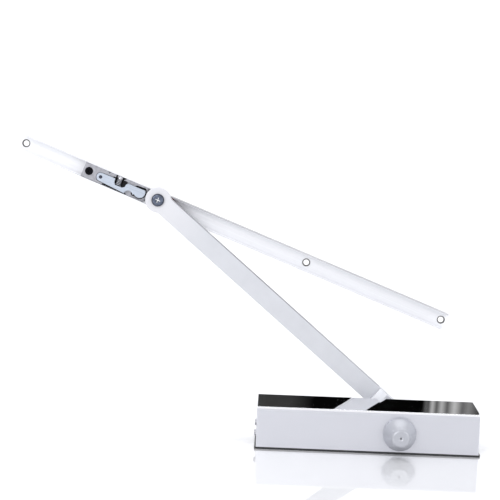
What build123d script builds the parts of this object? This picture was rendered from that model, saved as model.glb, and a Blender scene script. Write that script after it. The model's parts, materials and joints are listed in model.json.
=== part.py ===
"""Guide-rail closer for a door or window sash, with a hold-open unit in its rail.

Frame: the origin is the centre of the mounting face. +Z points away from the leaf that the closer is
screwed to, +X along the closer's body, and +Y along the spindle, from its capped end to the arm.
"""

import os
from math import acos, cos, degrees, pi, radians, sin, sqrt, tan

from build123d import *

# Closer body
BODY_LENGTH = 205.0
BODY_DEPTH = 60.0
PLATE_LENGTH = 208.0
PLATE_THICKNESS = 2.0
HOUSING_TOP = 37.9
COVER_EDGE = 39.7
COVER_CROWN = 39.9
BORE_RADIUS = 15.0
PLUG_RADIUS = 16.0
PLUG_LENGTH = 13.5
SHAFT_FIT = 0.05  # radial clearance of a running fit

# Spindle, pinion and rack
SPINDLE_X = 29.1
SPINDLE_Z = 19.0
SHAFT_RADIUS = 6.4
SQUARE = 11.0
MODULE = 1.5
PINION_TEETH = 11
PRESSURE_ANGLE = radians(25)
ADDENDUM = 1.4
DEDENDUM = 1.75
BACKLASH = 0.24
PINION_WIDTH = 17.0
PITCH_RADIUS = MODULE * PINION_TEETH / 2
TIP_RADIUS = PITCH_RADIUS + ADDENDUM
BEARING_RADIUS = 13.0
BEARING_INNER = 16.1  # distances of the bearings, their caps and the shaft seals from the middle
BEARING_OUTER = 24.0
SHAFT_SEAL_RADIUS = 9.5
PISTON_START = -4.0
PISTON_END = 76.0
PISTON_TRAVEL = 27.6
SPRING_WIRE = 1.9  # radius of the return spring's wire
SPRING_RADIUS = 11.3
SPRING_TURNS = 11

# Fixings of the body
FIXING_X = 66.0
FIXING_Y = 23.0
FIXING_RADIUS = 3.0
PLATE_SCREW_Y = 24.0
PEG_X = 90.0
PEG_Y = 22.0
PEG_RADIUS = 2.5
GROMMET_RADIUS = 4.0
GROMMET_FLOOR = 31.0
VALVE_Y = 22.5
VALVE_Z = 14.0
VALVE_RADIUS = 3.5

# Cap over the spindle's free end
CAP_RADIUS = 15.3
CAP_TIP_RADIUS = 8.2
CAP_HEIGHT = 20.0
DIMPLE_SPHERE = 4.2

# Arm
ARM_LENGTH = 309.0
ARM_ANGLE = radians(40.6)  # above the body, towards -X
ARM_FRONT = 50.5
ARM_BACK = 58.5
ARM_HALF_WIDTH = 9.4
ARM_HEAD_RADIUS = 12.3
ARM_HUB_RADIUS = 14.0
HUB_FRONT = 41.0
HUB_REACH = 28.5
HUB_OFFSET = 2.9  # the bar leaves the hub this far above its centre, and ends in the pivot's line
SPINDLE_BACK = 53.5
PIVOT_X = SPINDLE_X - ARM_LENGTH * cos(ARM_ANGLE)
PIVOT_Z = SPINDLE_Z + ARM_LENGTH * sin(ARM_ANGLE)
PIVOT_RADIUS = 4.0
SCREW_HEAD_BACK = 50.2
SCREW_HEAD_FRONT = 47.4
SCREW_HEAD_RADIUS = 6.1
PIVOT_THREAD_RADIUS = 3.2

# Rail: positions along it are counted from the arm's pivot
RAIL_ANGLE = radians(21.0)  # below horizontal, towards +X
RAIL_OFFSET = -1.4  # the rail's middle line, measured across it from the pivot
RAIL_START = -144.0
RAIL_END = 302.6
RAIL_WIDTH = 16.6
RAIL_WALL = 0.7
RAIL_FRONT = 61.0
RAIL_FLOOR = 72.5
RAIL_BACK = 74.9
RIB_FRONT = 67.9
RIB_BACK = 69.1
RIB_HEIGHT = 1.0
RAIL_HOLES = (RAIL_START + 4.2, 155.6, RAIL_END - 4.2)
RAIL_HOLE_RADIUS = 2.75
RAIL_SINK_RADIUS = 4.0
SLIDE_GAP = 0.25  # between the rail and what slides in it
SLIDE_HALF = RAIL_WIDTH / 2 - RAIL_WALL - SLIDE_GAP
NECK_HALF = SLIDE_HALF - RIB_HEIGHT

# Slide block
BLOCK_START = -7.0
BLOCK_END = 10.6
BLOCK_FRONT = 62.3
BOSS_FRONT = 59.5
BOSS_RADIUS = 6.2
BUFFER_LENGTH = 2.8
ROLLER_AT = (-8.2, -4.4)
ROLLER_RADIUS = 2.9
ROLLER_BORE = 1.26
ROLLER_FRONT = 63.8
ROLLER_BACK = 66.6
PIN_RADIUS = 1.2

# Hold-open unit
UNIT_START = -78.4
UNIT_END = -13.2
UNIT_FRONT = 63.7
POCKET_FLOOR = 66.9
FOOT_START = -47.0
FOOT_END = -19.0
LEVER_FRONT = 63.9
LEVER_BACK = 66.6
LEVER_PIVOT = (-60.2, -1.0)
LEVER_END_RADIUS = 4.0
NOSE = (-19.9, 0.2)
NOSE_RADIUS = 5.7
RIVET_RADIUS = 1.2
CLAMP_X = -72.6
CLAMP_RADIUS = 2.0
CLAMP_HEAD_RADIUS = 3.75
CLAMP_SEAT_DEPTH = 2.4
FORCE_X = -42.0
FORCE_Y = 64.9
FORCE_RADIUS = 2.1
FORCE_LENGTH = 2.8
FORCE_SPRING_WIRE = 0.45  # radius of the hold-open spring's wire
FORCE_SPRING_RADIUS = 2.6
FORCE_SPRING_Y = 65.7
SPRING_WELL_FLOOR = 69.1
SPRING_FOOT = -2.6
SPRING_TOP = 4.1

os.makedirs("parts", exist_ok=True)


def spindle_plane(y):
    """Across the spindle: x is +X, y is +Z, and an extrusion goes towards -Y."""
    return Plane(origin=(SPINDLE_X, y, SPINDLE_Z), x_dir=(1, 0, 0), z_dir=(0, -1, 0))


def arm_plane(y):
    """Across the spindle, with x along the arm from the spindle to the pivot."""
    along = (-cos(ARM_ANGLE), 0, sin(ARM_ANGLE))
    return Plane(origin=(SPINDLE_X, y, SPINDLE_Z), x_dir=along, z_dir=(0, -1, 0))


def pivot_plane(y):
    """Across the arm's pivot, with x along the rail."""
    along = (cos(RAIL_ANGLE), 0, -sin(RAIL_ANGLE))
    return Plane(origin=(PIVOT_X, y, PIVOT_Z), x_dir=along, z_dir=(0, -1, 0))


def rail_plane(y, at=0.0, across=0.0):
    """Parallel to the rail's floor, with x along the rail's middle line and y across it."""
    pivot = pivot_plane(y)
    origin = pivot.origin + pivot.x_dir * at + pivot.y_dir * (across + RAIL_OFFSET)
    return Plane(origin=origin, x_dir=pivot.x_dir, z_dir=pivot.z_dir)


def rail_section_plane(at):
    """Across the rail: x is its width, y is +Y, and an extrusion goes towards its right end."""
    section = rail_plane(0, at)
    return Plane(origin=section.origin, x_dir=section.y_dir * -1, z_dir=section.x_dir)


def bore_plane(x, y=0.0, z=SPINDLE_Z):
    """Across the piston bore: x is +Y, y is +Z, and an extrusion goes towards +X."""
    return Plane(origin=(x, y, z), x_dir=(0, 1, 0), z_dir=(1, 0, 0))


def turned_section(plane, points):
    """The half section of a turned piece, as a face on a plane that holds its axis."""
    with BuildSketch(plane) as section:
        with BuildLine():
            Polyline(*points, close=True)
        make_face()
    return section.sketch


def save(piece, name):
    piece.part.label = name
    export_step(piece.part, f"parts/{name}.step")


# ---------------------------------------------------------------- closer body

with BuildPart() as mounting_plate:
    with BuildSketch(Plane.XY):
        RectangleRounded(PLATE_LENGTH, BODY_DEPTH, 2)
    extrude(amount=PLATE_THICKNESS)
    with Locations((0, 0, PLATE_THICKNESS)):
        with GridLocations(2 * FIXING_X, 2 * FIXING_Y, 2, 2):
            Hole(radius=FIXING_RADIUS)
    with Locations(Plane(origin=(0, 0, 0), z_dir=(0, 0, -1))):
        with GridLocations(1, 2 * PLATE_SCREW_Y, 1, 2):
            CounterSinkHole(radius=2.1, counter_sink_radius=3.9)
save(mounting_plate, "mounting_plate")

plate_screw_section = turned_section(
    Plane.XZ, [(0, 0.1), (3.7, 0.1), (1.95, 1.85), (1.95, 11), (1.3, 11.8), (0, 11.8)]
)
with BuildPart() as one_plate_screw:
    revolve(plate_screw_section, axis=Axis.Z)
    with BuildSketch(Plane.XY):
        RegularPolygon(radius=1.3, side_count=6)
    extrude(amount=1.4, mode=Mode.SUBTRACT)
with BuildPart() as plate_screws:
    with GridLocations(1, 2 * PLATE_SCREW_Y, 1, 2):
        add(one_plate_screw.part)
save(plate_screws, "plate_screws")

with BuildPart() as housing:
    with BuildSketch(Plane.XY.offset(PLATE_THICKNESS)):
        RectangleRounded(BODY_LENGTH, BODY_DEPTH, 0.8)
    extrude(amount=HOUSING_TOP - PLATE_THICKNESS)
    # piston bore, and the wider seats of its two end plugs
    with BuildSketch(bore_plane(-BODY_LENGTH / 2)):
        Circle(BORE_RADIUS)
    extrude(amount=BODY_LENGTH, mode=Mode.SUBTRACT)
    for start in (-BODY_LENGTH / 2, BODY_LENGTH / 2 - PLUG_LENGTH):
        with BuildSketch(bore_plane(start)):
            Circle(PLUG_RADIUS)
        extrude(amount=PLUG_LENGTH, mode=Mode.SUBTRACT)
    # spindle bore, and its bearing seats
    with BuildSketch(spindle_plane(BODY_DEPTH / 2)):
        Circle(BEARING_RADIUS - 2)
    extrude(amount=BODY_DEPTH, mode=Mode.SUBTRACT)
    bearing_seat = BEARING_INNER - 0.1
    for outer_face in (BODY_DEPTH / 2, -bearing_seat):
        with BuildSketch(spindle_plane(outer_face)):
            Circle(BEARING_RADIUS)
        extrude(amount=BODY_DEPTH / 2 - bearing_seat, mode=Mode.SUBTRACT)
    # valve bores and the oil passage that joins them
    for side in (-1, 1):
        with BuildSketch(bore_plane(-BODY_LENGTH / 2, side * VALVE_Y, VALVE_Z)):
            Circle(VALVE_RADIUS)
        extrude(amount=24, mode=Mode.SUBTRACT)
        with BuildSketch(bore_plane(-BODY_LENGTH / 2 + 24, side * VALVE_Y, VALVE_Z)):
            Circle(1.6)
        extrude(amount=6, mode=Mode.SUBTRACT)
    with BuildSketch(Plane(origin=(-75, VALVE_Y, VALVE_Z), x_dir=(1, 0, 0), z_dir=(0, -1, 0))):
        Circle(1.2)
    extrude(amount=2 * VALVE_Y, mode=Mode.SUBTRACT)
    # fixing holes, tapped holes for the plate's screws, and the cover's grommet holes
    with Locations((0, 0, HOUSING_TOP)):
        with GridLocations(2 * FIXING_X, 2 * FIXING_Y, 2, 2):
            CounterBoreHole(radius=FIXING_RADIUS, counter_bore_radius=5.5, counter_bore_depth=6)
        with GridLocations(2 * PEG_X, 2 * PEG_Y, 2, 2):
            Hole(radius=GROMMET_RADIUS, depth=HOUSING_TOP - GROMMET_FLOOR)
    with Locations(Plane(origin=(0, 0, PLATE_THICKNESS), z_dir=(0, 0, -1))):
        with GridLocations(1, 2 * PLATE_SCREW_Y, 1, 2):
            Hole(radius=2.0, depth=11)
save(housing, "housing")

with BuildPart() as cover_grommets:
    with BuildSketch(Plane.XY.offset(GROMMET_FLOOR)):
        with GridLocations(2 * PEG_X, 2 * PEG_Y, 2, 2):
            Circle(GROMMET_RADIUS - 0.02)
            Circle(PEG_RADIUS + 0.02, mode=Mode.SUBTRACT)
    extrude(amount=HOUSING_TOP - GROMMET_FLOOR - 0.1)
save(cover_grommets, "cover_grommets")

with BuildPart() as front_cover:
    with BuildSketch(bore_plane(-BODY_LENGTH / 2, 0, 0)):
        with BuildLine():
            half = BODY_DEPTH / 2
            Polyline((-half, COVER_EDGE), (-half, HOUSING_TOP), (half, HOUSING_TOP), (half, COVER_EDGE))
            ThreePointArc((half, COVER_EDGE), (0, COVER_CROWN), (-half, COVER_EDGE))
        make_face()
    extrude(amount=BODY_LENGTH)
    fillet(front_cover.edges().filter_by(Axis.Z), radius=0.3)
    long_edges = front_cover.edges().filter_by(Axis.X).group_by(Axis.Z)[-1]
    fillet(long_edges, radius=0.4)
    with BuildSketch(Plane.XY.offset(GROMMET_FLOOR + 0.5)):
        with GridLocations(2 * PEG_X, 2 * PEG_Y, 2, 2):
            Circle(PEG_RADIUS)
    extrude(amount=HOUSING_TOP - GROMMET_FLOOR)
save(front_cover, "front_cover")

for name, outer_face, inwards in (
    ("end_plug_left", -BODY_LENGTH / 2, 1),
    ("end_plug_right", BODY_LENGTH / 2, -1),
):
    outer_plane = Plane(origin=(outer_face, 0, SPINDLE_Z), x_dir=(0, 1, 0), z_dir=(inwards, 0, 0))
    with BuildPart() as end_plug:
        with BuildSketch(outer_plane):
            Circle(PLUG_RADIUS - 0.02)
        extrude(amount=PLUG_LENGTH)
        chamfer(end_plug.edges().group_by(Axis.X)[0 if inwards > 0 else -1], length=0.8)
        with BuildSketch(outer_plane):
            RegularPolygon(radius=5.8, side_count=6)
        extrude(amount=6, mode=Mode.SUBTRACT)
        with BuildSketch(outer_plane.offset(8)):
            Circle(PLUG_RADIUS)
            Circle(PLUG_RADIUS - 1.8, mode=Mode.SUBTRACT)
        extrude(amount=2.2, mode=Mode.SUBTRACT)
    save(end_plug, name)

with BuildPart() as end_plug_seals:
    for middle in (-BODY_LENGTH / 2 + 9.1, BODY_LENGTH / 2 - 9.1):
        with BuildSketch(bore_plane(middle - 0.9)):
            Circle(PLUG_RADIUS - 0.03)
            Circle(PLUG_RADIUS - 1.75, mode=Mode.SUBTRACT)
        extrude(amount=1.8)
save(end_plug_seals, "end_plug_seals")

# half section of a valve screw: position along it from the housing's end face, and radius
valve_body = VALVE_RADIUS - 0.05
valve_head = [(-2.1, 0), (-2.1, 2.6), (-1.6, 3.1), (0, 3.1), (0.4, valve_body)]
seal_groove = [(9, valve_body), (9, 2.6), (11, 2.6), (11, valve_body)]
needle_tip = [(20, valve_body), (22, 1.4), (25.5, 1.1), (27, 0)]
for name, side in (("sweep_valve", -1), ("latch_valve", 1)):
    valve_plane = Plane(
        origin=(-BODY_LENGTH / 2, side * VALVE_Y, VALVE_Z), x_dir=(1, 0, 0), z_dir=(0, -1, 0)
    )
    section = turned_section(valve_plane, valve_head + seal_groove + needle_tip)
    with BuildPart() as valve:
        revolve(section, axis=Axis(valve_plane.origin, (1, 0, 0)))
        with BuildSketch(bore_plane(-BODY_LENGTH / 2 - 2.1, side * VALVE_Y, VALVE_Z)):
            Rectangle(7, 0.9)
        extrude(amount=1.4, mode=Mode.SUBTRACT)
    save(valve, name)

with BuildPart() as valve_seals:
    for side in (-1, 1):
        with BuildSketch(bore_plane(-BODY_LENGTH / 2 + 9.3, side * VALVE_Y, VALVE_Z)):
            Circle(VALVE_RADIUS - 0.02)
            Circle(2.7, mode=Mode.SUBTRACT)
        extrude(amount=1.4)
save(valve_seals, "valve_seals")

# ---------------------------------------------------------------- spindle bearings and cap

for name, side in (("front", -1), ("back", 1)):
    with BuildPart() as bearing:
        with BuildSketch(spindle_plane(max(side * BEARING_INNER, side * BEARING_OUTER))):
            Circle(BEARING_RADIUS - 0.02)
            Circle(SHAFT_RADIUS + SHAFT_FIT, mode=Mode.SUBTRACT)
        extrude(amount=BEARING_OUTER - BEARING_INNER)
        chamfer(bearing.edges().filter_by(GeomType.CIRCLE).group_by(SortBy.RADIUS)[-1], length=0.4)
    save(bearing, f"bearing_{name}")
    with BuildPart() as bearing_cap:
        with BuildSketch(spindle_plane(max(side * (BEARING_OUTER + 0.1), side * 28.4))):
            Circle(BEARING_RADIUS - 0.02)
            Circle(SHAFT_SEAL_RADIUS, mode=Mode.SUBTRACT)
        extrude(amount=28.3 - BEARING_OUTER)
        # four holes for a pin spanner
        with BuildSketch(spindle_plane(29 * side)):
            with PolarLocations((BEARING_RADIUS + SHAFT_SEAL_RADIUS) / 2, 4):
                Circle(0.8)
        extrude(amount=2.4 * side, mode=Mode.SUBTRACT)
    save(bearing_cap, f"bearing_cap_{name}")

with BuildPart() as spindle_seals:
    for back_face in (BEARING_OUTER + 4, -BEARING_OUTER - 0.6):
        with BuildSketch(spindle_plane(back_face)):
            Circle(SHAFT_SEAL_RADIUS - 0.05)
            Circle(SHAFT_RADIUS + SHAFT_FIT, mode=Mode.SUBTRACT)
        extrude(amount=3.4)
save(spindle_seals, "spindle_seals")

cap_face = -BODY_DEPTH / 2
with BuildPart() as pinion_cap:
    with BuildSketch(Plane(origin=(SPINDLE_X, 0, SPINDLE_Z), x_dir=(1, 0, 0), z_dir=(0, 0, 1))):
        with BuildLine():
            rim = Line((0, cap_face), (CAP_RADIUS, cap_face))
            lip = Line(rim @ 1, (CAP_RADIUS, cap_face - 2.4))
            shoulder_start = (CAP_TIP_RADIUS + 1.0, cap_face - CAP_HEIGHT + 3.0)
            flank = Bezier(
                lip @ 1,
                (CAP_RADIUS - 0.2, cap_face - 6.5),
                (CAP_TIP_RADIUS + 2.6, cap_face - CAP_HEIGHT + 8),
                shoulder_start,
            )
            nose = Bezier(
                flank @ 1,
                (CAP_TIP_RADIUS + 0.4, cap_face - CAP_HEIGHT + 0.8),
                (CAP_TIP_RADIUS - 1.6, cap_face - CAP_HEIGHT),
            )
            tip = Line(nose @ 1, (0, cap_face - CAP_HEIGHT))
            Line(tip @ 1, (0, cap_face))
        make_face()
    revolve(axis=Axis((SPINDLE_X, 0, SPINDLE_Z), (0, 1, 0)))
    with BuildSketch(spindle_plane(cap_face)):
        Circle(BEARING_RADIUS - 0.05)
    extrude(amount=-1.4)
    with BuildSketch(spindle_plane(cap_face + 1.4)):
        Circle(11.6)
    extrude(amount=7, mode=Mode.SUBTRACT)
    with BuildSketch(spindle_plane(cap_face)):
        Circle(7.6)
    extrude(amount=CAP_HEIGHT - 3.2, mode=Mode.SUBTRACT)
    # shallow dimple in the tip
    with Locations((SPINDLE_X, cap_face - CAP_HEIGHT - DIMPLE_SPHERE + 0.7, SPINDLE_Z)):
        Sphere(DIMPLE_SPHERE, mode=Mode.SUBTRACT)
save(pinion_cap, "pinion_cap")

# ---------------------------------------------------------------- piston, rack and spring

tooth_pitch = pi * MODULE
window_start = SPINDLE_X - TIP_RADIUS - 1.9
window_end = SPINDLE_X + TIP_RADIUS + PISTON_TRAVEL + 1.6
rack_root = PITCH_RADIUS + DEDENDUM
with BuildPart() as piston:
    with BuildSketch(bore_plane(PISTON_START)):
        Circle(BORE_RADIUS - SHAFT_FIT)
    extrude(amount=PISTON_END - PISTON_START)
    # window for the spindle and its pinion
    with BuildSketch(spindle_plane(BORE_RADIUS)):
        with Locations(((window_start + window_end) / 2 - SPINDLE_X, (rack_root - 10.6) / 2)):
            Rectangle(window_end - window_start, rack_root + 10.6)
    extrude(amount=2 * BORE_RADIUS, mode=Mode.SUBTRACT)
    # rack teeth under the window's roof
    with BuildSketch(spindle_plane(PINION_WIDTH / 2 - 0.2)):
        for place in range(-2, 7):
            half_root = tooth_pitch / 4 - BACKLASH / 2 + DEDENDUM * tan(PRESSURE_ANGLE)
            half_tip = tooth_pitch / 4 - BACKLASH / 2 - ADDENDUM * tan(PRESSURE_ANGLE)
            middle = place * tooth_pitch
            with BuildLine():
                Polyline(
                    (middle - half_root, rack_root + 0.05),
                    (middle - half_tip, PITCH_RADIUS - ADDENDUM),
                    (middle + half_tip, PITCH_RADIUS - ADDENDUM),
                    (middle + half_root, rack_root + 0.05),
                    close=True,
                )
            make_face()
    extrude(amount=PINION_WIDTH - 0.4)
    # seal groove and the check valve's seat
    with BuildSketch(bore_plane(PISTON_START + 4)):
        Circle(BORE_RADIUS)
        Circle(BORE_RADIUS - 2.2, mode=Mode.SUBTRACT)
    extrude(amount=2.6, mode=Mode.SUBTRACT)
    with BuildSketch(bore_plane(PISTON_START)):
        Circle(4)
    extrude(amount=10, mode=Mode.SUBTRACT)
    with BuildSketch(bore_plane(PISTON_START)):
        Circle(1.5)
    extrude(amount=window_start - PISTON_START + 1, mode=Mode.SUBTRACT)
save(piston, "piston")

with BuildPart() as piston_seal:
    with BuildSketch(bore_plane(PISTON_START + 4.2)):
        Circle(BORE_RADIUS - 0.04)
        Circle(BORE_RADIUS - 2.1, mode=Mode.SUBTRACT)
    extrude(amount=2.2)
save(piston_seal, "piston_seal")

with BuildPart() as check_valve:
    with BuildSketch(bore_plane(PISTON_START + 0.1)):
        Circle(3.97)
        Circle(1.2, mode=Mode.SUBTRACT)
    extrude(amount=9.8)
save(check_valve, "check_valve")

spring_start = -BODY_LENGTH / 2 + PLUG_LENGTH + SPRING_WIRE + 0.1
spring_length = PISTON_START - spring_start - SPRING_WIRE - 0.1
with BuildPart() as return_spring:
    with BuildLine() as spring_path:
        Helix(
            pitch=spring_length / SPRING_TURNS,
            height=spring_length,
            radius=SPRING_RADIUS,
            center=(spring_start, 0, SPINDLE_Z),
            direction=(1, 0, 0),
        )
    wire_start = spring_path.line ^ 0
    with BuildSketch(Plane(origin=wire_start.position, z_dir=spring_path.line % 0)):
        Circle(SPRING_WIRE)
    sweep(is_frenet=True)
save(return_spring, "return_spring")

# ---------------------------------------------------------------- spindle with its pinion


def involute(angle):
    return tan(angle) - angle


def flank_point(radius, side):
    """A point on the flank beside a tooth that is centred on +x, on the side given by its sign."""
    base_radius = PITCH_RADIUS * cos(PRESSURE_ANGLE)
    local_pressure = acos(min(1.0, base_radius / radius))
    half_tooth = (pi * MODULE / 4 - BACKLASH / 4) / PITCH_RADIUS
    half = half_tooth + involute(PRESSURE_ANGLE) - involute(local_pressure)
    return (radius * cos(half), side * radius * sin(half))


root_radius = PITCH_RADIUS - DEDENDUM
base_radius = PITCH_RADIUS * cos(PRESSURE_ANGLE)
middle_radius = (base_radius + TIP_RADIUS) / 2
lower_flank = [flank_point(radius, -1) for radius in (base_radius, middle_radius, TIP_RADIUS)]
upper_flank = [flank_point(radius, 1) for radius in (TIP_RADIUS, middle_radius, base_radius)]
foot_angle = degrees(acos(lower_flank[0][0] / base_radius))
lower_foot = Vector(root_radius - 0.3, 0).rotate(Axis.Z, -foot_angle)
upper_foot = Vector(root_radius - 0.3, 0).rotate(Axis.Z, foot_angle)
with BuildSketch() as pinion_tooth:
    with BuildLine():
        Line(lower_foot, lower_flank[0])
        Spline(*lower_flank)
        ThreePointArc(lower_flank[-1], (TIP_RADIUS, 0), upper_flank[0])
        Spline(*upper_flank)
        Line(upper_flank[-1], upper_foot)
        Line(upper_foot, lower_foot)
    make_face()
first_tooth = 90.0 - 180.0 / PINION_TEETH  # puts a gap between teeth under the rack's middle tooth

with BuildPart() as spindle:
    with BuildSketch(spindle_plane(HUB_FRONT)):
        Circle(SHAFT_RADIUS)
    extrude(amount=HUB_FRONT + BODY_DEPTH / 2 + 1)
    with BuildSketch(spindle_plane(PINION_WIDTH / 2)):
        Circle(root_radius + 0.02)
        with PolarLocations(0, PINION_TEETH, start_angle=first_tooth):
            add(pinion_tooth.sketch)
    extrude(amount=PINION_WIDTH)
    for start, length in ((SPINDLE_BACK, SPINDLE_BACK - HUB_FRONT + 0.5), (-BODY_DEPTH / 2 - 0.5, 14.5)):
        with BuildSketch(spindle_plane(start)):
            Rectangle(SQUARE, SQUARE)
            Circle(SHAFT_RADIUS, mode=Mode.INTERSECT)
        extrude(amount=length)
    with BuildSketch(spindle_plane(SPINDLE_BACK)):
        Circle(PIVOT_RADIUS)
    extrude(amount=20, mode=Mode.SUBTRACT)
save(spindle, "spindle")

# ---------------------------------------------------------------- arm

hub_half = ARM_HALF_WIDTH - 0.2
reach_offset = HUB_OFFSET * (1 - HUB_REACH / ARM_LENGTH)
with BuildPart() as arm:
    with BuildSketch(arm_plane(ARM_BACK)):
        with BuildLine():
            Polyline(
                (0, -HUB_OFFSET - ARM_HALF_WIDTH),
                (ARM_LENGTH - 8, -ARM_HALF_WIDTH),
                (ARM_LENGTH - 8, ARM_HALF_WIDTH),
                (0, ARM_HALF_WIDTH - HUB_OFFSET),
                close=True,
            )
        make_face()
        Circle(ARM_HUB_RADIUS)
        with Locations((ARM_LENGTH, 0)):
            Circle(ARM_HEAD_RADIUS)
    extrude(amount=ARM_BACK - ARM_FRONT)
    fillet(arm.edges().group_by(Axis.Y)[0], radius=0.7)
    fillet(arm.edges().group_by(Axis.Y)[-1], radius=0.7)
    # thick hub, which tapers down to the bar
    with BuildSketch(arm_plane(ARM_FRONT + 1)):
        Circle(ARM_HUB_RADIUS - 0.2)
        with BuildLine():
            Polyline(
                (0, -HUB_OFFSET - hub_half),
                (HUB_REACH, -reach_offset - hub_half),
                (HUB_REACH, hub_half - reach_offset),
                (0, hub_half - HUB_OFFSET),
                close=True,
            )
        make_face()
    extrude(amount=ARM_FRONT + 1 - HUB_FRONT)
    hub_end = arm.faces().filter_by(lambda f: abs(f.normal_at().dot(arm_plane(0).x_dir)) > 0.99)
    hub_end_edges = hub_end.sort_by(Axis.Y)[0].edges().group_by(Axis.Y)[0]
    chamfer(hub_end_edges, length=8.0, length2=4.0)
    # socket for the spindle's square, with the arm screw's seat at the back
    with BuildSketch(spindle_plane(SPINDLE_BACK + 0.4)):
        Rectangle(SQUARE + 0.1, SQUARE + 0.1)
    extrude(amount=SPINDLE_BACK + 0.4 - HUB_FRONT, mode=Mode.SUBTRACT)
    with BuildSketch(arm_plane(ARM_BACK)):
        Circle(4.3)
    extrude(amount=ARM_BACK - HUB_FRONT, mode=Mode.SUBTRACT)
    with BuildSketch(arm_plane(ARM_BACK)):
        Circle(8.2)
    extrude(amount=3.4, mode=Mode.SUBTRACT)
    with BuildSketch(arm_plane(ARM_BACK)):
        with Locations((ARM_LENGTH, 0)):
            Circle(6.0)
    extrude(amount=ARM_BACK - ARM_FRONT, mode=Mode.SUBTRACT)
save(arm, "arm")

with BuildPart() as arm_washer:
    with BuildSketch(arm_plane(ARM_BACK - 2.4)):
        Circle(8.0)
        Circle(4.2, mode=Mode.SUBTRACT)
    extrude(amount=1.0)
save(arm_washer, "arm_washer")

with BuildPart() as arm_screw:
    with BuildSketch(arm_plane(ARM_BACK - 0.1)):
        Circle(6.6)
    extrude(amount=2.3)
    fillet(arm_screw.edges().group_by(Axis.Y)[-1], radius=1.2)
    with BuildSketch(arm_plane(ARM_BACK - 2)):
        Circle(PIVOT_RADIUS - 0.02)
    extrude(amount=18)
    with BuildSketch(arm_plane(ARM_BACK - 0.1)):
        RegularPolygon(radius=3.0, side_count=6)
    extrude(amount=1.9, mode=Mode.SUBTRACT)
save(arm_screw, "arm_screw")

with BuildPart() as pivot_bush:
    with BuildSketch(arm_plane(ARM_BACK)):
        with Locations((ARM_LENGTH, 0)):
            Circle(5.98)
            Circle(PIVOT_RADIUS + SHAFT_FIT, mode=Mode.SUBTRACT)
    extrude(amount=ARM_BACK - ARM_FRONT)
save(pivot_bush, "pivot_bush")

# ---------------------------------------------------------------- slide block and what it carries

with BuildPart() as pivot_screw:
    with BuildSketch(pivot_plane(SCREW_HEAD_BACK)):
        Circle(SCREW_HEAD_RADIUS)
    extrude(amount=SCREW_HEAD_BACK - SCREW_HEAD_FRONT)
    fillet(pivot_screw.edges().group_by(Axis.Y)[0], radius=1.8)
    with BuildSketch(pivot_plane(BOSS_FRONT)):
        Circle(PIVOT_RADIUS)
    extrude(amount=BOSS_FRONT - SCREW_HEAD_BACK + 0.5)
    with BuildSketch(pivot_plane(BOSS_FRONT + 7)):
        Circle(PIVOT_THREAD_RADIUS - 0.02)
    extrude(amount=7.5)
    with BuildSketch(pivot_plane(SCREW_HEAD_FRONT)):
        Rectangle(5.6, 1.3)
        Rectangle(1.3, 5.6)
    extrude(amount=-1.7, taper=18, mode=Mode.SUBTRACT)
save(pivot_screw, "pivot_screw")

block_middle = (BLOCK_START + BLOCK_END) / 2
block_length = BLOCK_END - BLOCK_START
with BuildPart() as slide_block:
    for back, front, half in (
        (RAIL_FLOOR - SLIDE_GAP, RIB_BACK + SLIDE_GAP, SLIDE_HALF),
        (RIB_BACK + SLIDE_GAP, RIB_FRONT - SLIDE_GAP, NECK_HALF),
        (RIB_FRONT - SLIDE_GAP, BLOCK_FRONT, SLIDE_HALF),
    ):
        with BuildSketch(rail_plane(back, block_middle)):
            Rectangle(block_length, 2 * half)
        extrude(amount=back - front)
    with BuildSketch(pivot_plane(BLOCK_FRONT)):
        Circle(BOSS_RADIUS)
    extrude(amount=BLOCK_FRONT - BOSS_FRONT)
    # room for the catch roller, behind the finger that holds its pin
    with BuildSketch(rail_plane(POCKET_FLOOR)):
        with Locations((BLOCK_START, ROLLER_AT[1] - 1)):
            Rectangle(4.6, 8.8)
    extrude(amount=POCKET_FLOOR - UNIT_FRONT, mode=Mode.SUBTRACT)
    with BuildSketch(rail_plane(UNIT_FRONT - 0.2)):
        with Locations(ROLLER_AT):
            Circle(2.8)
        with Locations((ROLLER_AT[0] + 3, ROLLER_AT[1])):
            Rectangle(6, 5.6)
    extrude(amount=UNIT_FRONT - 0.2 - BLOCK_FRONT)
    with BuildSketch(rail_plane(UNIT_FRONT)):
        with Locations(ROLLER_AT):
            Circle(PIN_RADIUS)
    extrude(amount=UNIT_FRONT - BLOCK_FRONT, mode=Mode.SUBTRACT)
    with BuildSketch(pivot_plane(BOSS_FRONT + 7.5)):
        Circle(PIVOT_THREAD_RADIUS)
    extrude(amount=7.5, mode=Mode.SUBTRACT)
save(slide_block, "slide_block")

with BuildPart() as roller_pin:
    with BuildSketch(rail_plane(ROLLER_BACK + 0.1)):
        with Locations(ROLLER_AT):
            Circle(PIN_RADIUS - 0.01)
    extrude(amount=ROLLER_BACK + 0.1 - BLOCK_FRONT)
save(roller_pin, "roller_pin")

with BuildPart() as catch_roller:
    with BuildSketch(rail_plane(ROLLER_BACK)):
        with Locations(ROLLER_AT):
            Circle(ROLLER_RADIUS)
            Circle(ROLLER_BORE, mode=Mode.SUBTRACT)
    extrude(amount=ROLLER_BACK - ROLLER_FRONT)
save(catch_roller, "catch_roller")

with BuildPart() as slide_buffer:
    with BuildSketch(rail_plane(RIB_FRONT - SLIDE_GAP, BLOCK_END + BUFFER_LENGTH / 2)):
        Rectangle(BUFFER_LENGTH, 2 * SLIDE_HALF)
    extrude(amount=RIB_FRONT - SLIDE_GAP - BLOCK_FRONT)
    fillet(slide_buffer.edges().filter_by(Axis.Y), radius=0.9)
save(slide_buffer, "slide_buffer")

# ---------------------------------------------------------------- rail

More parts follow.
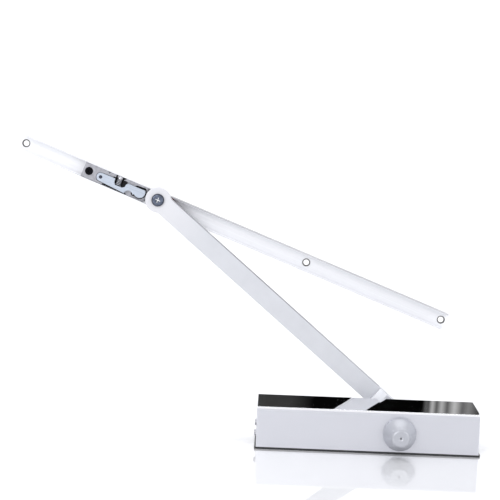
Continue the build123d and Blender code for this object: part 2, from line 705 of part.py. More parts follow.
half_width = RAIL_WIDTH / 2
inner_half = half_width - RAIL_WALL
with BuildPart() as rail:
    with BuildSketch(rail_section_plane(RAIL_START)):
        with Locations((0, (RAIL_FRONT + RAIL_BACK) / 2)):
            Rectangle(RAIL_WIDTH, RAIL_BACK - RAIL_FRONT)
        with Locations((0, (RAIL_FRONT + RAIL_FLOOR) / 2)):
            Rectangle(2 * inner_half, RAIL_FLOOR - RAIL_FRONT, mode=Mode.SUBTRACT)
        for side in (-1, 1):
            with Locations((side * (inner_half - RIB_HEIGHT / 2), (RIB_FRONT + RIB_BACK) / 2)):
                Rectangle(RIB_HEIGHT, RIB_BACK - RIB_FRONT)
    extrude(amount=RAIL_END - RAIL_START)
    outer_edges = rail.edges().filter_by(Axis((0, 0, 0), rail_plane(0).x_dir)).group_by(Axis.Y)[-1]
    fillet(outer_edges, radius=1.0)
    for at in RAIL_HOLES:
        with Locations(rail_plane(RAIL_FLOOR, at)):
            CounterSinkHole(
                radius=RAIL_HOLE_RADIUS,
                counter_sink_radius=RAIL_SINK_RADIUS,
                depth=RAIL_BACK - RAIL_FLOOR,
            )
save(rail, "rail")

# ---------------------------------------------------------------- hold-open unit

unit_middle = (UNIT_START + UNIT_END) / 2
pivot_x, pivot_y = LEVER_PIVOT
with BuildPart() as hold_open_base:
    with BuildSketch(rail_plane(RIB_FRONT - SLIDE_GAP, unit_middle)):
        Rectangle(UNIT_END - UNIT_START, 2 * SLIDE_HALF)
    extrude(amount=RIB_FRONT - SLIDE_GAP - UNIT_FRONT)
    # guide foot under the ribs
    foot_middle = (FOOT_START + FOOT_END) / 2
    with BuildSketch(rail_plane(RIB_BACK + SLIDE_GAP, foot_middle)):
        Rectangle(FOOT_END - FOOT_START, 2 * NECK_HALF)
    extrude(amount=RIB_BACK - RIB_FRONT + 2 * SLIDE_GAP)
    with BuildSketch(rail_plane(RAIL_FLOOR - SLIDE_GAP, foot_middle)):
        Rectangle(FOOT_END - FOOT_START, 2 * SLIDE_HALF)
    extrude(amount=RAIL_FLOOR - RIB_BACK - 2 * SLIDE_GAP)
    # pocket for the lever, open below it and towards the slide block
    with BuildSketch(rail_plane(POCKET_FLOOR)):
        with BuildLine():
            Polyline(
                (pivot_x, pivot_y + 4.6),
                (FORCE_X - 4.4, 4.6),
                (FORCE_X - 4.4, 8),
                (FORCE_X - 2.9, 8),
                (FORCE_X - 2.6, 4.8),
                (FORCE_X + 2.2, 4.8),
                (FORCE_X + 2.5, 8),
                (FORCE_X + 7.4, 8),
                (FORCE_X + 3.8, 4.9),
                (-30.0, 4.9),
                (-17.0, 5.8),
                (UNIT_END + 1, 5.8),
                (UNIT_END + 1, -8),
                (pivot_x + 3.6, -8),
                (pivot_x + 3.6, -5.9),
                (pivot_x, pivot_y - 4.6),
                close=True,
            )
        make_face()
        with Locations(LEVER_PIVOT):
            Circle(LEVER_END_RADIUS + 0.6)
    extrude(amount=POCKET_FLOOR - UNIT_FRONT, mode=Mode.SUBTRACT)
    # well behind the spring
    with BuildSketch(rail_plane(SPRING_WELL_FLOOR)):
        with Locations((FORCE_X, 0.9)):
            Rectangle(7.4, 7.8)
    extrude(amount=SPRING_WELL_FLOOR - UNIT_FRONT, mode=Mode.SUBTRACT)
    # clamp screw's seat
    with BuildSketch(rail_plane(RIB_FRONT)):
        with Locations((CLAMP_X, 0)):
            Circle(CLAMP_RADIUS + 0.2)
    extrude(amount=RIB_FRONT - UNIT_FRONT, mode=Mode.SUBTRACT)
    with BuildSketch(rail_plane(UNIT_FRONT + CLAMP_SEAT_DEPTH)):
        with Locations((CLAMP_X, 0)):
            Circle(CLAMP_HEAD_RADIUS + 0.25)
    extrude(amount=CLAMP_SEAT_DEPTH, mode=Mode.SUBTRACT)
    # index notch in the upper edge
    with BuildSketch(rail_plane(POCKET_FLOOR)):
        with BuildLine():
            Polyline((-55.7, 8), (-51.5, 8), (-53.6, 5.2), close=True)
        make_face()
    extrude(amount=POCKET_FLOOR - UNIT_FRONT, mode=Mode.SUBTRACT)
    # rivet hole and the force screw's thread, whose side shows through the front
    with BuildSketch(rail_plane(RIB_FRONT)):
        with Locations(LEVER_PIVOT):
            Circle(RIVET_RADIUS)
    extrude(amount=RIB_FRONT - POCKET_FLOOR + 0.1, mode=Mode.SUBTRACT)
    force_plane = rail_plane(FORCE_Y, FORCE_X, SPRING_TOP + 0.1)
    force_plane = Plane(origin=force_plane.origin, x_dir=force_plane.x_dir, z_dir=force_plane.y_dir)
    with BuildSketch(force_plane):
        Circle(FORCE_RADIUS + SHAFT_FIT)
    extrude(amount=4, mode=Mode.SUBTRACT)
save(hold_open_base, "hold_open_base")

with BuildPart() as clamp_nut:
    with BuildSketch(rail_plane(RAIL_FLOOR - SLIDE_GAP, CLAMP_X)):
        Rectangle(11, 2 * SLIDE_HALF)
        Circle(CLAMP_RADIUS, mode=Mode.SUBTRACT)
    extrude(amount=RAIL_FLOOR - RIB_BACK - 2 * SLIDE_GAP)
save(clamp_nut, "clamp_nut")

with BuildPart() as clamp_screw:
    with BuildSketch(rail_plane(UNIT_FRONT + CLAMP_SEAT_DEPTH - 0.1, CLAMP_X)):
        Circle(CLAMP_HEAD_RADIUS)
    extrude(amount=CLAMP_SEAT_DEPTH + 0.7)
    fillet(clamp_screw.edges().group_by(Axis.Y)[0], radius=0.6)
    with BuildSketch(rail_plane(RAIL_FLOOR - 0.4, CLAMP_X)):
        Circle(CLAMP_RADIUS - 0.02)
    extrude(amount=RAIL_FLOOR - 0.4 - UNIT_FRONT - 2)
    with BuildSketch(rail_plane(UNIT_FRONT - 0.8, CLAMP_X)):
        RegularPolygon(radius=2.1, side_count=6)
    extrude(amount=-2.2, mode=Mode.SUBTRACT)
save(clamp_screw, "clamp_screw")

with BuildPart() as lever_rivet:
    with BuildSketch(rail_plane(RIB_FRONT - SLIDE_GAP - 0.1)):
        with Locations(LEVER_PIVOT):
            Circle(RIVET_RADIUS - 0.01)
    extrude(amount=RIB_FRONT - SLIDE_GAP - 0.1 - UNIT_FRONT)
    with BuildSketch(rail_plane(LEVER_FRONT - 0.1)):
        with Locations(LEVER_PIVOT):
            Circle(1.7)
    extrude(amount=0.6)
    fillet(lever_rivet.edges().group_by(Axis.Y)[0], radius=0.4)
save(lever_rivet, "lever_rivet")

nose_x, nose_y = NOSE
with BuildPart() as hold_open_lever:
    with BuildSketch(rail_plane(LEVER_BACK)):
        with BuildLine():
            top = Polyline(
                (pivot_x, pivot_y + LEVER_END_RADIUS),
                (FORCE_X - 4.6, 3.3),
                (FORCE_X - 4.0, -0.6),
                (FORCE_X - 2.6, SPRING_FOOT),
                (FORCE_X + 4.8, SPRING_FOOT),
                (FORCE_X + 7.0, -0.8),
                (FORCE_X + 7.4, 2.0),
                (FORCE_X + 9.6, 3.4),
                (-25.7, 3.4),
                (-17.0, 3.6),
            )
            nose_start = (nose_x + NOSE_RADIUS * cos(radians(35)), nose_y + NOSE_RADIUS * sin(radians(35)))
            Line(top @ 1, nose_start)
            nose_end = (nose_x - NOSE_RADIUS * cos(radians(42)), nose_y - NOSE_RADIUS * sin(radians(42)))
            nose = ThreePointArc(nose_start, (nose_x + 1.5, nose_y - sqrt(NOSE_RADIUS**2 - 1.5**2)), nose_end)
            tooth = Line(nose @ 1, (-25.2, -5.0))
            notch = ThreePointArc(tooth @ 1, (-29.2, -2.4), (-33.4, -6.8))
            Line(notch @ 1, (pivot_x - 0.5, pivot_y - sqrt(LEVER_END_RADIUS**2 - 0.25)))
            ThreePointArc(
                (pivot_x - 0.5, pivot_y - sqrt(LEVER_END_RADIUS**2 - 0.25)),
                (pivot_x - LEVER_END_RADIUS, pivot_y),
                (pivot_x, pivot_y + LEVER_END_RADIUS),
            )
        make_face()
        with Locations(LEVER_PIVOT):
            Circle(RIVET_RADIUS + SHAFT_FIT, mode=Mode.SUBTRACT)
    extrude(amount=LEVER_BACK - LEVER_FRONT)
save(hold_open_lever, "hold_open_lever")

force_spring_length = SPRING_TOP - SPRING_FOOT - 2 * FORCE_SPRING_WIRE - 0.1
spring_base = rail_plane(FORCE_SPRING_Y, FORCE_X, SPRING_FOOT + FORCE_SPRING_WIRE + 0.05)
with BuildPart() as hold_open_spring:
    with BuildLine() as force_spring_path:
        Helix(
            pitch=force_spring_length / 4,
            height=force_spring_length,
            radius=FORCE_SPRING_RADIUS,
            center=spring_base.origin,
            direction=spring_base.y_dir,
        )
    wire_start = force_spring_path.line ^ 0
    with BuildSketch(Plane(origin=wire_start.position, z_dir=force_spring_path.line % 0)):
        Circle(FORCE_SPRING_WIRE)
    sweep(is_frenet=True)
save(hold_open_spring, "hold_open_spring")

force_screw_plane = Plane(
    origin=rail_plane(FORCE_Y, FORCE_X, SPRING_TOP + 0.1).origin,
    x_dir=rail_plane(0).x_dir,
    z_dir=rail_plane(0).y_dir,
)
with BuildPart() as force_screw:
    with BuildSketch(force_screw_plane):
        Circle(FORCE_RADIUS)
    extrude(amount=FORCE_LENGTH)
    with BuildSketch(force_screw_plane.offset(FORCE_LENGTH)):
        Rectangle(5, 0.7)
    extrude(amount=-0.9, mode=Mode.SUBTRACT)
save(force_screw, "force_screw")
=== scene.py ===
"""Looks for the guide-rail closer: materials, a pale studio and the camera."""

import json
from math import cos, radians, sin, tau

import bmesh
import bpy
from mathutils import Matrix, Vector


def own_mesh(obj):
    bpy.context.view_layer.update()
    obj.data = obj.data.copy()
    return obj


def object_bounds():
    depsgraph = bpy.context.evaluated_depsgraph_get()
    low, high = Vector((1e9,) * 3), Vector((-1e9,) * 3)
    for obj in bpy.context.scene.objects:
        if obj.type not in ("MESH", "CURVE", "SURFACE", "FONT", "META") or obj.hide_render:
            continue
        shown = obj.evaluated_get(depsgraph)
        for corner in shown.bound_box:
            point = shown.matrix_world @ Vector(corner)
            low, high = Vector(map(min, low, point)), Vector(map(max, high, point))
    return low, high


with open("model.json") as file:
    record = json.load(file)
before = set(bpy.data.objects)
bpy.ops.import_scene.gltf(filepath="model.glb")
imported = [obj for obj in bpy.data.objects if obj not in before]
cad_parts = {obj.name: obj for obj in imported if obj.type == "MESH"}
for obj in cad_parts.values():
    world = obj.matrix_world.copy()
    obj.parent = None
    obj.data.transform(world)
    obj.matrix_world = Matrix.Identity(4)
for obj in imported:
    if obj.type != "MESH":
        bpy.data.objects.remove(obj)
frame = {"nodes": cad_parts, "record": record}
CAD_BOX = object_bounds()

MM = 0.001
RAIL_ANGLE = radians(21.0)
ARM_ANGLE = radians(40.6)
PIVOT = Vector((-205.515, 0, 220.089)) * MM  # where the arm carries the slide block
RAIL_OFFSET = 1.4 * MM  # the rail's middle line lies this far below the pivot
RAIL_MIDDLE = PIVOT + Vector((-sin(RAIL_ANGLE), 0, -cos(RAIL_ANGLE))) * RAIL_OFFSET
RAIL_HALF_WIDTH = 8.3 * MM
RAIL_HOLES = [at * MM for at in (-139.8, 155.6, 298.4)]  # along the rail, from the pivot
COUNTERSINK_RADIUS = 4.0 * MM
RAIL_FLOOR = 72.52 * MM  # front face of the rail's floor, along Y
SPINDLE_AT = (29.1 * MM, 0, 19.0 * MM)


# ---------------------------------------------------------------- node kit


def mix_colour(colour, factor):
    """The colour times a factor, kept within 0 to 1."""
    return tuple(min(1.0, channel * factor) for channel in colour) + (1.0,)


class Surface:
    """A principled material whose colour, roughness and relief come from noises in the row's frame."""

    def __init__(self, name, metallic=0.0, turn=0.0, origin=(0, 0, 0)):
        self.material = bpy.data.materials.new(name)
        self.material.use_nodes = True
        self.tree = self.material.node_tree
        self.shader = self.tree.nodes["Principled BSDF"]
        self.shader.inputs["Metallic"].default_value = metallic
        self.height = None
        coordinates = self.tree.nodes.new("ShaderNodeTexCoord")
        moved = self.tree.nodes.new("ShaderNodeVectorMath")
        moved.operation = "SUBTRACT"
        moved.inputs[1].default_value = origin
        turned = self.tree.nodes.new("ShaderNodeMapping")
        turned.inputs["Rotation"].default_value = (0, turn, 0)
        self.link(coordinates.outputs["Object"], moved.inputs[0])
        self.link(moved.outputs["Vector"], turned.inputs["Vector"])
        self.place = turned.outputs["Vector"]

    def link(self, source, target):
        self.tree.links.new(source, target)

    def stretched(self, stretch):
        """The place, scaled by stretch along each axis of the surface's own grain."""
        if stretch == (1, 1, 1):
            return self.place
        scaled = self.tree.nodes.new("ShaderNodeMapping")
        scaled.inputs["Scale"].default_value = stretch
        self.link(self.place, scaled.inputs["Vector"])
        return scaled.outputs["Vector"]

    def noise(self, size, stretch=(1, 1, 1), detail=4.0, roughness=0.55):
        """A noise whose lumps are about size metres across."""
        node = self.tree.nodes.new("ShaderNodeTexNoise")
        node.inputs["Scale"].default_value = 1 / size
        node.inputs["Detail"].default_value = detail
        node.inputs["Roughness"].default_value = roughness
        self.link(self.stretched(stretch), node.inputs["Vector"])
        return node.outputs["Fac"]

    def spread(self, source, low, high, low_out, high_out):
        node = self.tree.nodes.new("ShaderNodeMapRange")
        for name, value in (
            ("From Min", low),
            ("From Max", high),
            ("To Min", low_out),
            ("To Max", high_out),
        ):
            node.inputs[name].default_value = value
        self.link(source, node.inputs["Value"])
        return node.outputs["Result"]

    def axis(self, letter):
        """One coordinate of the place, in metres."""
        split = self.tree.nodes.new("ShaderNodeSeparateXYZ")
        self.link(self.place, split.inputs["Vector"])
        return split.outputs[letter]

    def near(self, centre, axis_scale, inside, outside):
        """1 up to the inside distance from a centre and 0 past the outside distance.

        With the larger distance first it is 1 far from the centre and 0 near it.
        """
        offset = self.tree.nodes.new("ShaderNodeVectorMath")
        offset.operation = "SUBTRACT"
        offset.inputs[1].default_value = centre
        scaled = self.tree.nodes.new("ShaderNodeVectorMath")
        scaled.operation = "MULTIPLY"
        scaled.inputs[1].default_value = axis_scale
        length = self.tree.nodes.new("ShaderNodeVectorMath")
        length.operation = "LENGTH"
        self.link(self.place, offset.inputs[0])
        self.link(offset.outputs["Vector"], scaled.inputs[0])
        self.link(scaled.outputs["Vector"], length.inputs[0])
        return self.spread(length.outputs["Value"], inside, outside, 1, 0)

    def combine(self, operation, first, second):
        node = self.tree.nodes.new("ShaderNodeMath")
        node.operation = operation
        self.link(first, node.inputs[0])
        self.link(second, node.inputs[1])
        return node.outputs["Value"]

    def either(self, masks):
        """1 where any of the masks is 1."""
        result = masks[0]
        for mask in masks[1:]:
            result = self.combine("MAXIMUM", result, mask)
        return result

    def both(self, masks):
        """1 where all of the masks are 1."""
        result = masks[0]
        for mask in masks[1:]:
            result = self.combine("MULTIPLY", result, mask)
        return result

    def overlay(self, mask, colour):
        """Lays an even colour over the base colour where the mask is 1."""
        under = self.shader.inputs["Base Color"].links[0].from_socket
        mix = self.tree.nodes.new("ShaderNodeMix")
        mix.data_type = "RGBA"
        mix.inputs["B"].default_value = (*colour, 1)
        self.link(mask, mix.inputs["Factor"])
        self.link(under, mix.inputs["A"])
        self.link(mix.outputs["Result"], self.shader.inputs["Base Color"])

    def colour(self, source, dark, light, low=0.35, high=0.65):
        ramp = self.tree.nodes.new("ShaderNodeValToRGB")
        ramp.color_ramp.elements[0].position = low
        ramp.color_ramp.elements[0].color = dark
        ramp.color_ramp.elements[1].position = high
        ramp.color_ramp.elements[1].color = light
        self.link(source, ramp.inputs["Fac"])
        self.link(ramp.outputs["Color"], self.shader.inputs["Base Color"])

    def roughness(self, source, low, high):
        self.link(self.spread(source, 0.3, 0.7, low, high), self.shader.inputs["Roughness"])

    def relief(self, source, depth):
        """Adds bumps of about depth metres."""
        bump = self.tree.nodes.new("ShaderNodeBump")
        bump.inputs["Strength"].default_value = 1.0
        bump.inputs["Distance"].default_value = depth
        self.link(source, bump.inputs["Height"])
        if self.height is not None:
            self.link(self.height, bump.inputs["Normal"])
        self.height = bump.outputs["Normal"]
        self.link(self.height, self.shader.inputs["Normal"])

    def finish(self, **sockets):
        """Sets even values on the shader's own sockets, named with underscores for spaces."""
        for name, value in sockets.items():
            self.shader.inputs[name.replace("_", " ")].default_value = value
        return self.material


# ---------------------------------------------------------------- materials


def satin_silver(name, colour, grain=0.0006, metallic=0.5, dimple=None):
    """Fine-grained silver finish of the closer's body and cap, with painted shade in the dimple if there is
    one.
    """
    surface = Surface(name, metallic=metallic)
    flakes = surface.noise(grain, detail=6)
    clouds = surface.noise(0.03, detail=3)
    surface.colour(flakes, mix_colour(colour, 0.90), mix_colour(colour, 1.06), 0.3, 0.7)
    if dimple is not None:
        # painted shade: the dimple's hollow is coloured near-black
        surface.overlay(surface.near(dimple, (1, 0, 1), 0.5 * MM, 1.5 * MM), (0.10, 0.10, 0.11))
    surface.roughness(clouds, 0.36, 0.46)
    surface.relief(flakes, 0.000012)
    surface.relief(surface.noise(0.004, detail=2), 0.00001)
    return surface.finish(Coat_Weight=0.08, Coat_Roughness=0.3)


def mirror_chrome(name):
    """Polished chrome with faint smudges."""
    surface = Surface(name, metallic=1.0)
    smudges = surface.noise(0.05, detail=5)
    surface.colour(smudges, (0.92, 0.92, 0.94, 1), (0.97, 0.97, 0.98, 1))
    surface.roughness(smudges, 0.025, 0.055)
    surface.relief(surface.noise(0.03, detail=1), 0.00002)
    return surface.finish()


def powder_coat(name, colour, turn=0.0, origin=(0, 0, 0), rough=(0.30, 0.40), edge=None):
    """Smooth paint with the slight orange peel of a powder coat.

    An edge is an arm's upper one: its height, start and end. Shade is painted along it, darker than the
    arm's face, and a highlight is painted on the arm's head, at the origin, which is lighter.
    """
    surface = Surface(name, metallic=0.12, turn=turn, origin=origin)
    clouds = surface.noise(0.025, detail=4)
    surface.colour(clouds, mix_colour(colour, 0.965), mix_colour(colour, 1.015))
    if edge is not None:
        height, start, end = edge
        above = surface.spread(surface.axis("Z"), height - 0.6 * MM, height - 0.2 * MM, 0, 1)
        begun = surface.spread(surface.axis("X"), start, start + 1 * MM, 0, 1)
        ended = surface.spread(surface.axis("X"), end - 1 * MM, end, 1, 0)
        # painted highlight: the arm's head is coloured lighter, fading out by 60 mm from the pivot
        surface.overlay(surface.near((0, 0, 0), (1, 0, 1), 14 * MM, 60 * MM), (0.675, 0.675, 0.705))
        # painted shade along the arm's upper edge
        surface.overlay(surface.both([above, begun, ended]), (0.30, 0.30, 0.33))
    surface.roughness(surface.noise(0.012, detail=3), *rough)
    surface.relief(surface.noise(0.0012, detail=2), 0.000025)
    surface.relief(surface.noise(0.00025, detail=2), 0.000004)
    return surface.finish(Coat_Weight=0.25, Coat_Roughness=0.18)


def extruded_finish(name, colour):
    """White silver finish with die lines along the rail, with painted shade in its holes and along its upper
    edge.
    """
    surface = Surface(name, metallic=0.25, turn=-RAIL_ANGLE, origin=RAIL_MIDDLE)
    lines = surface.noise(0.0008, stretch=(0.004, 1, 1), detail=5)
    clouds = surface.noise(0.04, detail=3)
    surface.colour(lines, mix_colour(colour, 0.955), mix_colour(colour, 1.02), 0.3, 0.7)
    holes = surface.either(
        [
            surface.near((at, 0, 0), (1, 0, 1), COUNTERSINK_RADIUS, COUNTERSINK_RADIUS + 0.15 * MM)
            for at in RAIL_HOLES
        ]
    )
    # painted shade: the hole walls behind the floor's front face are coloured dark
    behind_floor = surface.spread(surface.axis("Y"), RAIL_FLOOR, RAIL_FLOOR + 0.08 * MM, 0, 1)
    surface.overlay(surface.both([holes, behind_floor]), (0.16, 0.155, 0.15))
    # painted shade along the rail's upper edge, weaker over the slide block and fading towards the far end
    above = surface.spread(surface.axis("Z"), RAIL_HALF_WIDTH - 0.6 * MM, RAIL_HALF_WIDTH - 0.2 * MM, 0, 1)
    past_block = surface.spread(surface.axis("X"), 0, 12 * MM, 0.25, 1)
    fading = surface.spread(surface.axis("X"), 20 * MM, 150 * MM, 1, 0.5)
    surface.overlay(surface.both([above, past_block, fading]), (0.14, 0.14, 0.16))
    surface.roughness(clouds, 0.28, 0.38)
    surface.relief(lines, 0.000012)
    return surface.finish(Coat_Weight=0.15, Coat_Roughness=0.2)


def zinc(name, colour):
    """Zinc with a cloudy bloom, with painted shade deep in its recesses around the force screw and the
    lever.
    """
    surface = Surface(name, metallic=0.85, turn=-RAIL_ANGLE, origin=RAIL_MIDDLE)
    bloom = surface.noise(0.004, detail=6, roughness=0.65)
    surface.colour(bloom, mix_colour(colour, 0.78), mix_colour(colour, 1.12), 0.35, 0.65)
    recess = surface.spread(surface.axis("Y"), 64.2 * MM, 65.1 * MM, 0, 1)
    # centre along and across the rail, scale along it, and where the painted shade starts to fade and ends,
    # in mm
    places = (
        (-41.5, 2.5, 1.0, 7.2, 7.8),  # the force screw's well
        (-44.5, -7.6, 0.24, 2.9, 3.3),  # under the lever
        (-25.0, -3.4, 1.0, 2.4, 3.0),  # the flank of the lever's tooth
        (-19.9, 0.2, 1.0, 6.6, 7.0),  # around the lever's nose
    )
    painted_recess_shade = surface.either(
        [
            surface.near((x * MM, 0, z * MM), (scale, 0, 1), fades * MM, ends * MM)
            for x, z, scale, fades, ends in places
        ]
    )
    # painted shade: the deep parts of these recesses are coloured near-black
    surface.overlay(surface.both([recess, painted_recess_shade]), (0.012, 0.012, 0.013))
    surface.roughness(surface.noise(0.002, detail=4), 0.30, 0.48)
    surface.relief(surface.noise(0.0006, stretch=(0.15, 1, 1)), 0.00001)
    return surface.finish()


def brushed(name, colour, turn=0.0, rough=(0.24, 0.40)):
    """Bare metal with fine brush lines."""
    surface = Surface(name, metallic=1.0, turn=turn)
    lines = surface.noise(0.0004, stretch=(0.02, 1, 1), detail=5)
    surface.colour(lines, mix_colour(colour, 0.84), mix_colour(colour, 1.10), 0.3, 0.7)
    surface.roughness(surface.noise(0.003, detail=4), *rough)
    surface.relief(lines, 0.000008)
    return surface.finish()


def moulded(name, colour, rough=(0.42, 0.55), grain=0.0007, depth=0.00002, metallic=0.0):
    """Moulded plastic or rubber, with its fine pebble."""
    surface = Surface(name, metallic=metallic)
    pebble = surface.noise(grain, detail=3)
    surface.colour(surface.noise(0.006, detail=4), mix_colour(colour, 0.88), mix_colour(colour, 1.10))
    surface.roughness(pebble, *rough)
    surface.relief(pebble, depth)
    return surface.finish()


def screw_head(name, colour):
    """Blued steel, with a painted highlight in the driver's recess and painted shade at the rim."""
    surface = Surface(name, metallic=1.0, origin=PIVOT)
    turned = surface.noise(0.002, detail=5)
    surface.colour(turned, mix_colour(colour, 0.75), mix_colour(colour, 1.25))
    recess = surface.spread(surface.axis("Y"), 47.8 * MM, 48.4 * MM, 0, 1)
    middle = surface.near((0, 0, 0), (1, 0, 1), 3.0 * MM, 3.6 * MM)
    # painted highlight in the driver's recess
    surface.overlay(surface.both([recess, middle]), (0.95, 0.96, 0.97))
    rim = surface.near((0, 0, 0), (1, 0, 1), 5.5 * MM, 4.6 * MM)
    # painted shade around the head's rim
    surface.overlay(rim, (0.05, 0.055, 0.075))
    surface.roughness(turned, 0.26, 0.40)
    surface.relief(turned, 0.00001)
    return surface.finish()


SLOTS = {
    "black_steel": powder_coat("black_steel", (0.012, 0.012, 0.014), rough=(0.35, 0.5)),
    "bright_steel": brushed("bright_steel", (0.60, 0.60, 0.63)),
    "body_silver": satin_silver("body_silver", (0.66, 0.665, 0.71), metallic=0.9),
    "mirror_chrome": mirror_chrome("mirror_chrome"),
    "black_rubber": moulded("black_rubber", (0.016, 0.016, 0.017), rough=(0.6, 0.75)),
    "bare_brass": brushed("bare_brass", (0.70, 0.53, 0.26)),
    "cap_plastic": satin_silver(
        "cap_plastic", (0.47, 0.48, 0.52), grain=0.0004, dimple=SPINDLE_AT
    ),
    "spring_steel": brushed("spring_steel", (0.42, 0.43, 0.46)),
    "cast_iron": moulded("cast_iron", (0.20, 0.20, 0.21), grain=0.001, depth=0.00005, metallic=0.9),
    "arm_paint": powder_coat(
        "arm_paint",
        (0.60, 0.61, 0.645),
        turn=-ARM_ANGLE + radians(0.55),
        origin=PIVOT,
        # the arm's upper edge, along which shade is painted: its height, start and end
        edge=(9.3 * MM, 8.5 * MM, 280 * MM),
    ),
    "rail_paint": extruded_finish("rail_paint", (0.885, 0.89, 0.915)),
    "dark_steel": brushed("dark_steel", (0.06, 0.065, 0.085), rough=(0.22, 0.36)),
    "slide_plastic": moulded("slide_plastic", (0.035, 0.035, 0.04)),
    "red_rubber": moulded("red_rubber", (0.22, 0.012, 0.016), rough=(0.5, 0.65)),
    "zinc_plate": zinc("zinc_plate", (0.38, 0.38, 0.41)),
    "lever_steel": brushed("lever_steel", (0.52, 0.57, 0.65), turn=-RAIL_ANGLE, rough=(0.3, 0.42)),
    "black_screw": brushed("black_screw", (0.010, 0.010, 0.012), rough=(0.32, 0.45)),
}
OWN_MATERIAL = {"pivot_screw": screw_head("pivot_screw_steel", (0.13, 0.15, 0.20))}
for part in frame["record"]["subparts"]:
    mesh = frame["nodes"][part["node"]].data
    mesh.materials.clear()
    mesh.materials.append(OWN_MATERIAL.get(part["node"], SLOTS[part["material_slot"]]))

# both springs shorten towards their fixed ends as their joints move
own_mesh(frame["nodes"]["return_spring"])
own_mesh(frame["nodes"]["hold_open_spring"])


# ---------------------------------------------------------------- studio

FLOOR_Z = CAD_BOX[0][2]


def grid_sheet(name, profile, half_width, material):
    """A sheet that runs along X and follows a profile of (y, z) points."""
    mesh = bpy.data.meshes.new(name)
    shape = bmesh.new()
    rows = [[shape.verts.new((x, y, z)) for y, z in profile] for x in (-half_width, half_width)]
    for i in range(len(profile) - 1):
        shape.faces.new((rows[0][i], rows[1][i], rows[1][i + 1], rows[0][i + 1])).smooth = True
    shape.to_mesh(mesh)
    shape.free()
    mesh.materials.append(material)
    sheet = bpy.data.objects.new(name, mesh)
    bpy.context.collection.objects.link(sheet)


def studio_paper():
    """Pale sheet, glossy just in front of the closer so that its body is faintly mirrored."""
    surface = Surface("studio_paper")
    surface.colour(surface.noise(0.4, detail=2), (0.90, 0.90, 0.905, 1), (0.92, 0.92, 0.925, 1))
    sides = [
        surface.spread(surface.axis("Y"), -0.03, 0.01, 0.5, 0),
        surface.spread(surface.axis("Y"), -0.25, -0.21, 0, 1),
        surface.spread(surface.axis("X"), -0.18, -0.13, 0, 1),
        surface.spread(surface.axis("X"), 0.18, 0.13, 0, 1),
    ]
    surface.link(surface.both(sides), surface.shader.inputs["Metallic"])
    surface.roughness(surface.noise(0.2, detail=2), 0.035, 0.05)
    return surface.finish(Specular_IOR_Level=0.2)


SHEET_FRONT, SHEET_HALF_WIDTH = -7.0, 7.0
SWEEP_START, SWEEP_RADIUS, SWEEP_TOP = 1.6, 1.2, 3.2  # where the sheet starts to rise, how, and its top
curve = [
    (SWEEP_START + SWEEP_RADIUS * sin(a), FLOOR_Z + SWEEP_RADIUS * (1 - cos(a)))
    for a in (tau / 4 * i / 16 for i in range(17))
]
backdrop_profile = [(SHEET_FRONT, FLOOR_Z)] + curve + [(SWEEP_START + SWEEP_RADIUS, SWEEP_TOP)]
grid_sheet("studio_floor", backdrop_profile, SHEET_HALF_WIDTH, studio_paper())


def card(name, centre, size, facing, stops):
    """A card that only shiny faces see. Its stops are (place along X, strength), with its two ends first."""
    mesh = bpy.data.meshes.new(name)
    shape = bmesh.new()
    w, h = size[0] / 2, size[1] / 2
    corners = [shape.verts.new(p) for p in ((-w, -h, 0), (w, -h, 0), (w, h, 0), (-w, h, 0))]
    shape.faces.new(corners)
    shape.to_mesh(mesh)
    shape.free()
    material = bpy.data.materials.new(name)
    material.use_nodes = True
    nodes, links = material.node_tree.nodes, material.node_tree.links
    nodes.clear()
    coordinates = nodes.new("ShaderNodeTexCoord")
    split = nodes.new("ShaderNodeSeparateXYZ")
    place = nodes.new("ShaderNodeMapRange")
    place.inputs["From Min"].default_value = -w
    place.inputs["From Max"].default_value = w
    ramp = nodes.new("ShaderNodeValToRGB")
    for i, (at, strength) in enumerate(stops):
        spot = (at - centre[0] + w) / (2 * w)
        stop = ramp.color_ramp.elements[i] if i < 2 else ramp.color_ramp.elements.new(spot)
        stop.position = spot
        stop.color = (strength, strength, strength, 1)
    emission = nodes.new("ShaderNodeEmission")
    clear = nodes.new("ShaderNodeBsdfTransparent")
    side = nodes.new("ShaderNodeNewGeometry")
    one_sided = nodes.new("ShaderNodeMixShader")
    output = nodes.new("ShaderNodeOutputMaterial")
    links.new(coordinates.outputs["Object"], split.inputs["Vector"])
    links.new(split.outputs["X"], place.inputs["Value"])
    links.new(place.outputs["Result"], ramp.inputs["Fac"])
    links.new(ramp.outputs["Color"], emission.inputs["Color"])
    links.new(side.outputs["Backfacing"], one_sided.inputs["Fac"])
    links.new(emission.outputs["Emission"], one_sided.inputs[1])
    links.new(clear.outputs["BSDF"], one_sided.inputs[2])
    links.new(one_sided.outputs["Shader"], output.inputs["Surface"])
    mesh.materials.append(material)
    made = bpy.data.objects.new(name, mesh)
    bpy.context.collection.objects.link(made)
    made.rotation_euler = Vector(facing).to_track_quat("Z", "Y").to_euler()
    made.location = centre
    made.visible_camera = False
    made.visible_shadow = False
    made.visible_diffuse = False
    made.visible_transmission = False


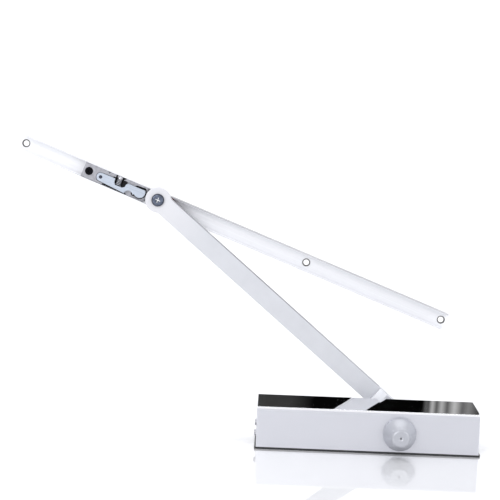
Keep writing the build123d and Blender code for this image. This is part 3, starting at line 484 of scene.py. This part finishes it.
# behind the closer: what its chrome cover mirrors towards the camera
card(
    "dark_card_back",
    (0.048, 0.75, 0.193),
    (0.314, 0.118),
    (0, -1, 0),
    [
        (-0.109, 0.043),
        (0.205, 0.02),
        (-0.060, 0.036),
        (-0.030, 0.002),
        (0.124, 0.001),
        (0.129, 0.10),
        (0.133, 0.08),
        (0.138, 0.46),
        (0.144, 0.09),
        (0.151, 0.44),
        (0.159, 0.10),
        (0.169, 0.50),
        (0.180, 0.12),
        (0.189, 0.22),
    ],
)


def area_light(name, centre, target, size, power):
    data = bpy.data.lights.new(name, "AREA")
    data.shape = "RECTANGLE"
    data.size, data.size_y = size
    data.energy = power
    lamp = bpy.data.objects.new(name, data)
    bpy.context.collection.objects.link(lamp)
    lamp.location = centre
    aim = Vector(target) - Vector(centre)
    lamp.rotation_euler = aim.to_track_quat("-Z", "Y").to_euler()


area_light("key_light", (-1.2, -2.0, 1.1), (0, 0, 0.1), (1.6, 1.2), 20)
area_light("fill_light", (1.7, -1.8, 0.9), (0, 0, 0.1), (1.4, 1.4), 12)
area_light("backdrop_light", (0.0, 0.9, 2.6), (0, 2.6, 0.6), (3.0, 0.5), 30)

world = bpy.data.worlds.new("studio_world")
bpy.context.scene.world = world
world.use_nodes = True
world.node_tree.nodes["Background"].inputs["Color"].default_value = (0.96, 0.97, 1.0, 1)
world.node_tree.nodes["Background"].inputs["Strength"].default_value = 0.95
bpy.context.scene.view_settings.view_transform = "Standard"


# ---------------------------------------------------------------- camera

CAMERA_AT = (-0.0905, -1.477, 0.3338)
CAMERA_HEADING, CAMERA_DROP, CAMERA_ROLL = radians(0.94), radians(5.92), radians(2.07)
CAMERA_LENS = 115.2  # mm, on a 36 mm sensor

heading = Matrix.Rotation(CAMERA_HEADING, 4, "Z")
level = Matrix.Rotation(radians(90) - CAMERA_DROP, 4, "X")
roll = Matrix.Rotation(CAMERA_ROLL, 4, "Z")
camera_data = bpy.data.cameras.new("photo_camera")
camera_data.lens = CAMERA_LENS
camera_data.sensor_width = 36.0
camera_data.clip_start = 0.05
camera = bpy.data.objects.new("photo_camera", camera_data)
bpy.context.collection.objects.link(camera)
camera.matrix_world = Matrix.Translation(CAMERA_AT) @ heading @ level @ roll
bpy.context.scene.camera = camera
